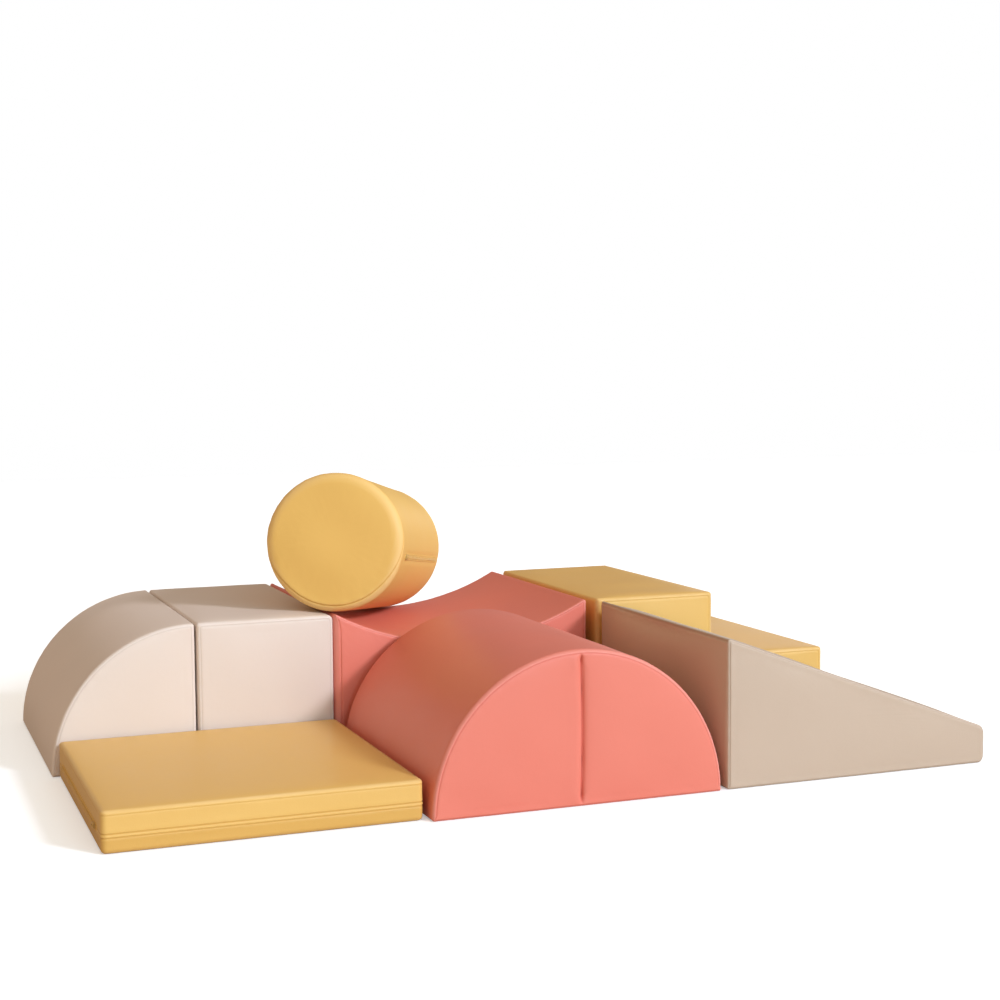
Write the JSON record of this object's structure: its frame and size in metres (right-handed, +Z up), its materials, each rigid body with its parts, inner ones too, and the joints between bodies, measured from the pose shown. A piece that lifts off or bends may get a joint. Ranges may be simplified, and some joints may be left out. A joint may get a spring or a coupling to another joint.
{
  "type": "soft play foam climber",
  "caption": "Low soft play climber of foam modules in zipped vinyl covers: half-round hill, ramp, stairs, hollow-topped block, quarter-round, narrow block, mat and a loose roller.",
  "frame": {"origin": "middle of the whole set on the floor, at the centre of the underside of its bounding box", "axes": "+Z up, +X along the rows towards the foot of the stairs and the toe of the ramp, -Y towards the front row, the side that the picture shows"},
  "size_m": [1.5236, 1.0914, 0.5033],
  "materials": {
    "cream_vinyl": "satin",
    "sand_vinyl": "satin",
    "coral_vinyl": "satin",
    "yellow_vinyl": "satin",
    "foam": "matte",
    "zip_tape": "matte",
    "zip_metal": "satin"
  },
  "bodies": {
    "saddle_block": {"saddle_block_cover": "coral_vinyl", "saddle_block_core": "foam", "saddle_block_zip": "zip_tape"},
    "saddle_block_slider": {"saddle_block_zip_slider": "zip_metal"},
    "narrow_block": {"narrow_block_cover": "cream_vinyl", "narrow_block_core": "foam", "narrow_block_zip": "zip_tape"},
    "narrow_block_slider": {"narrow_block_zip_slider": "zip_metal"},
    "quarter_round": {"quarter_round_cover": "cream_vinyl", "quarter_round_core": "foam", "quarter_round_zip": "zip_tape"},
    "quarter_round_slider": {"quarter_round_zip_slider": "zip_metal"},
    "stairs": {"stairs_cover": "yellow_vinyl", "stairs_core": "foam", "stairs_zip": "zip_tape"},
    "stairs_slider": {"stairs_zip_slider": "zip_metal"},
    "mat": {"mat_cover": "yellow_vinyl", "mat_core": "foam", "mat_zip": "zip_tape"},
    "mat_slider": {"mat_zip_slider": "zip_metal"},
    "wedge": {"wedge_cover": "sand_vinyl", "wedge_core": "foam", "wedge_zip": "zip_tape"},
    "wedge_slider": {"wedge_zip_slider": "zip_metal"},
    "half_round": {"half_round_cover": "coral_vinyl", "half_round_left_core": "foam", "half_round_right_core": "foam", "half_round_zip": "zip_tape"},
    "half_round_slider": {"half_round_zip_slider": "zip_metal"},
    "roller": {"roller_cover": "yellow_vinyl", "roller_core": "foam", "roller_zip": "zip_tape"},
    "roller_slider": {"roller_zip_slider": "zip_metal"}
  },
  "joints": [
    {"name": "narrow_block_away", "type": "slide", "parent": "saddle_block", "child": "narrow_block", "axis": [0, 1, 0], "range_m": [0, 0.6]},
    {"name": "quarter_round_away", "type": "slide", "parent": "saddle_block", "child": "quarter_round", "axis": [-1, 0, 0], "range_m": [0, 0.6]},
    {"name": "stairs_away", "type": "slide", "parent": "saddle_block", "child": "stairs", "axis": [1, 0, 0], "range_m": [0, 0.6]},
    {"name": "mat_away", "type": "slide", "parent": "saddle_block", "child": "mat", "axis": [0, -1, 0], "range_m": [0, 0.6]},
    {"name": "half_round_away", "type": "slide", "parent": "saddle_block", "child": "half_round", "axis": [0, -1, 0], "range_m": [0, 0.6]},
    {"name": "wedge_away", "type": "slide", "parent": "saddle_block", "child": "wedge", "axis": [0, -1, 0], "range_m": [0, 0.6]},
    {"name": "roller_lift", "type": "slide", "parent": "saddle_block", "child": "roller", "axis": [0, 0, 1], "range_m": [0, 0.6]},
    {"name": "saddle_block_zip_pull", "type": "slide", "parent": "saddle_block", "child": "saddle_block_slider", "axis": [1, 0, 0], "range_m": [0, 0.376]},
    {"name": "narrow_block_zip_pull", "type": "slide", "parent": "narrow_block", "child": "narrow_block_slider", "axis": [1, 0, 0], "range_m": [0, 0.123]},
    {"name": "quarter_round_zip_pull", "type": "slide", "parent": "quarter_round", "child": "quarter_round_slider", "axis": [1, 0, 0], "range_m": [0, 0.126]},
    {"name": "stairs_zip_pull", "type": "slide", "parent": "stairs", "child": "stairs_slider", "axis": [1, 0, 0], "range_m": [0, 0.376]},
    {"name": "half_round_zip_pull", "type": "slide", "parent": "half_round", "child": "half_round_slider", "axis": [1, 0, 0], "range_m": [0, 0.376]},
    {"name": "mat_zip_pull", "type": "slide", "parent": "mat", "child": "mat_slider", "axis": [0, 1, 0], "range_m": [0, 0.376]},
    {"name": "wedge_zip_pull", "type": "slide", "parent": "wedge", "child": "wedge_slider", "axis": [0, 1, 0], "range_m": [0, 0.376]},
    {"name": "roller_zip_pull", "type": "slide", "parent": "roller", "child": "roller_slider", "axis": [0.4334, 0.8926, -0.1243], "range_m": [0, 0.426]}
  ]
}
